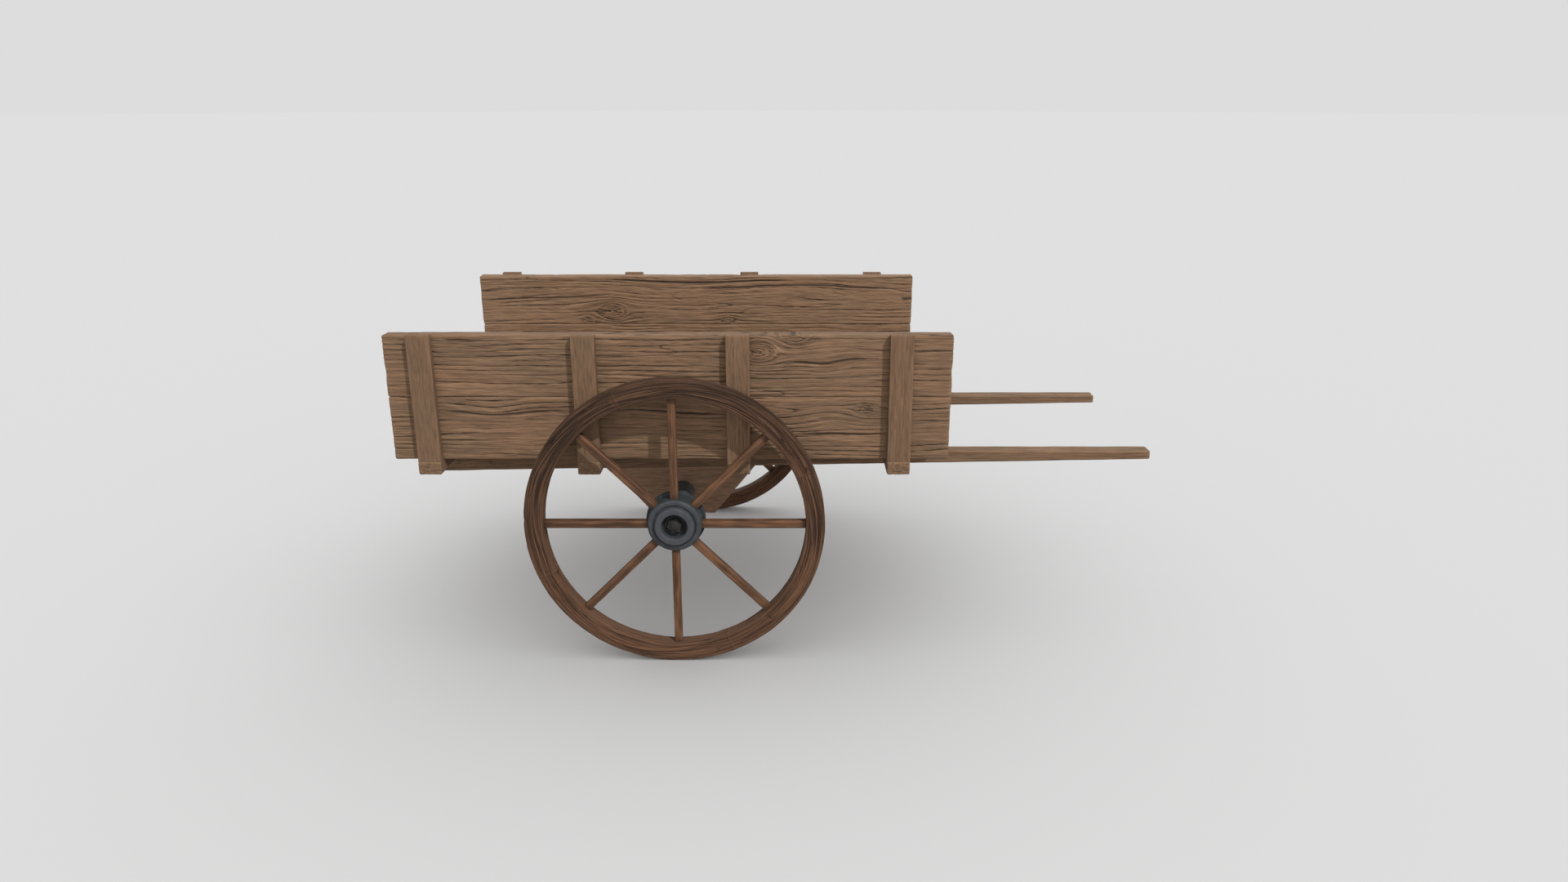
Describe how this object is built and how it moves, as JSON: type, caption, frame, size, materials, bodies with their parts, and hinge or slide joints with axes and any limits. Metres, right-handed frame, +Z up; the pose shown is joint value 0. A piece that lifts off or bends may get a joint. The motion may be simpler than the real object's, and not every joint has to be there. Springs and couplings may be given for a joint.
{
  "type": "hand cart",
  "caption": "Two-wheeled wooden hand cart with an open-ended plank bed on cross bearers, two tapered pushing shafts and spoked wheels on an iron axle.",
  "frame": {"origin": "on the ground, in the middle of the cart's whole length and width", "axes": "+X towards the handle ends, +Y towards the right-hand wheel, +Z up"},
  "size_m": [2.532, 1.436, 1.0919],
  "materials": {
    "plank_wood": "weathered, deep open grain",
    "stake_wood": "planed, weathered",
    "frame_wood": "sawn, weathered",
    "floor_wood": "worn by loads",
    "bracket_wood": "sawn, weathered",
    "rim_wood": "dark, oiled, worn",
    "spoke_wood": "oiled, smooth",
    "dowel_wood": "split oak",
    "hub_iron": "rough cast, blue-grey",
    "axle_iron": "black forged",
    "bush_metal": "turned, greased",
    "nail_iron": "rusted"
  },
  "bodies": {
    "cart": {"left_shaft": "frame_wood", "right_shaft": "frame_wood", "cross_bearer_1": "frame_wood", "cross_bearer_2": "frame_wood", "cross_bearer_3": "frame_wood", "cross_bearer_4": "frame_wood", "left_lower_side_plank": "plank_wood", "right_lower_side_plank": "plank_wood", "left_upper_side_plank": "plank_wood", "right_upper_side_plank": "plank_wood", "left_stake_1": "stake_wood", "left_stake_2": "stake_wood", "left_stake_3": "stake_wood", "left_stake_4": "stake_wood", "right_stake_1": "stake_wood", "right_stake_2": "stake_wood", "right_stake_3": "stake_wood", "right_stake_4": "stake_wood", "floor_board_1": "floor_wood", "floor_board_2": "floor_wood", "floor_board_3": "floor_wood", "floor_board_4": "floor_wood", "left_axle_bracket": "bracket_wood", "right_axle_bracket": "bracket_wood", "axle": "axle_iron", "left_axle_nut": "axle_iron", "right_axle_nut": "axle_iron", "stake_dowels": "dowel_wood", "floor_nails": "nail_iron", "coach_screws": "nail_iron"},
    "left_wheel": {"left_hub": "hub_iron", "left_hub_bush": "bush_metal", "left_spoke_1": "spoke_wood", "left_spoke_2": "spoke_wood", "left_spoke_3": "spoke_wood", "left_spoke_4": "spoke_wood", "left_spoke_5": "spoke_wood", "left_spoke_6": "spoke_wood", "left_spoke_7": "spoke_wood", "left_spoke_8": "spoke_wood", "left_felloe_1": "rim_wood", "left_felloe_2": "rim_wood", "left_felloe_3": "rim_wood", "left_felloe_4": "rim_wood", "left_felloe_dowels": "dowel_wood"},
    "right_wheel": {"right_hub": "hub_iron", "right_hub_bush": "bush_metal", "right_spoke_1": "spoke_wood", "right_spoke_2": "spoke_wood", "right_spoke_3": "spoke_wood", "right_spoke_4": "spoke_wood", "right_spoke_5": "spoke_wood", "right_spoke_6": "spoke_wood", "right_spoke_7": "spoke_wood", "right_spoke_8": "spoke_wood", "right_felloe_1": "rim_wood", "right_felloe_2": "rim_wood", "right_felloe_3": "rim_wood", "right_felloe_4": "rim_wood", "right_felloe_dowels": "dowel_wood"}
  },
  "joints": [
    {"name": "left_wheel_spin", "type": "hinge", "parent": "cart", "child": "left_wheel", "pos_m": [-0.353, -0.679, 0.485], "axis": [0, 1, 0], "continuous": true},
    {"name": "right_wheel_spin", "type": "hinge", "parent": "cart", "child": "right_wheel", "pos_m": [-0.353, 0.679, 0.485], "axis": [0, 1, 0], "continuous": true}
  ]
}
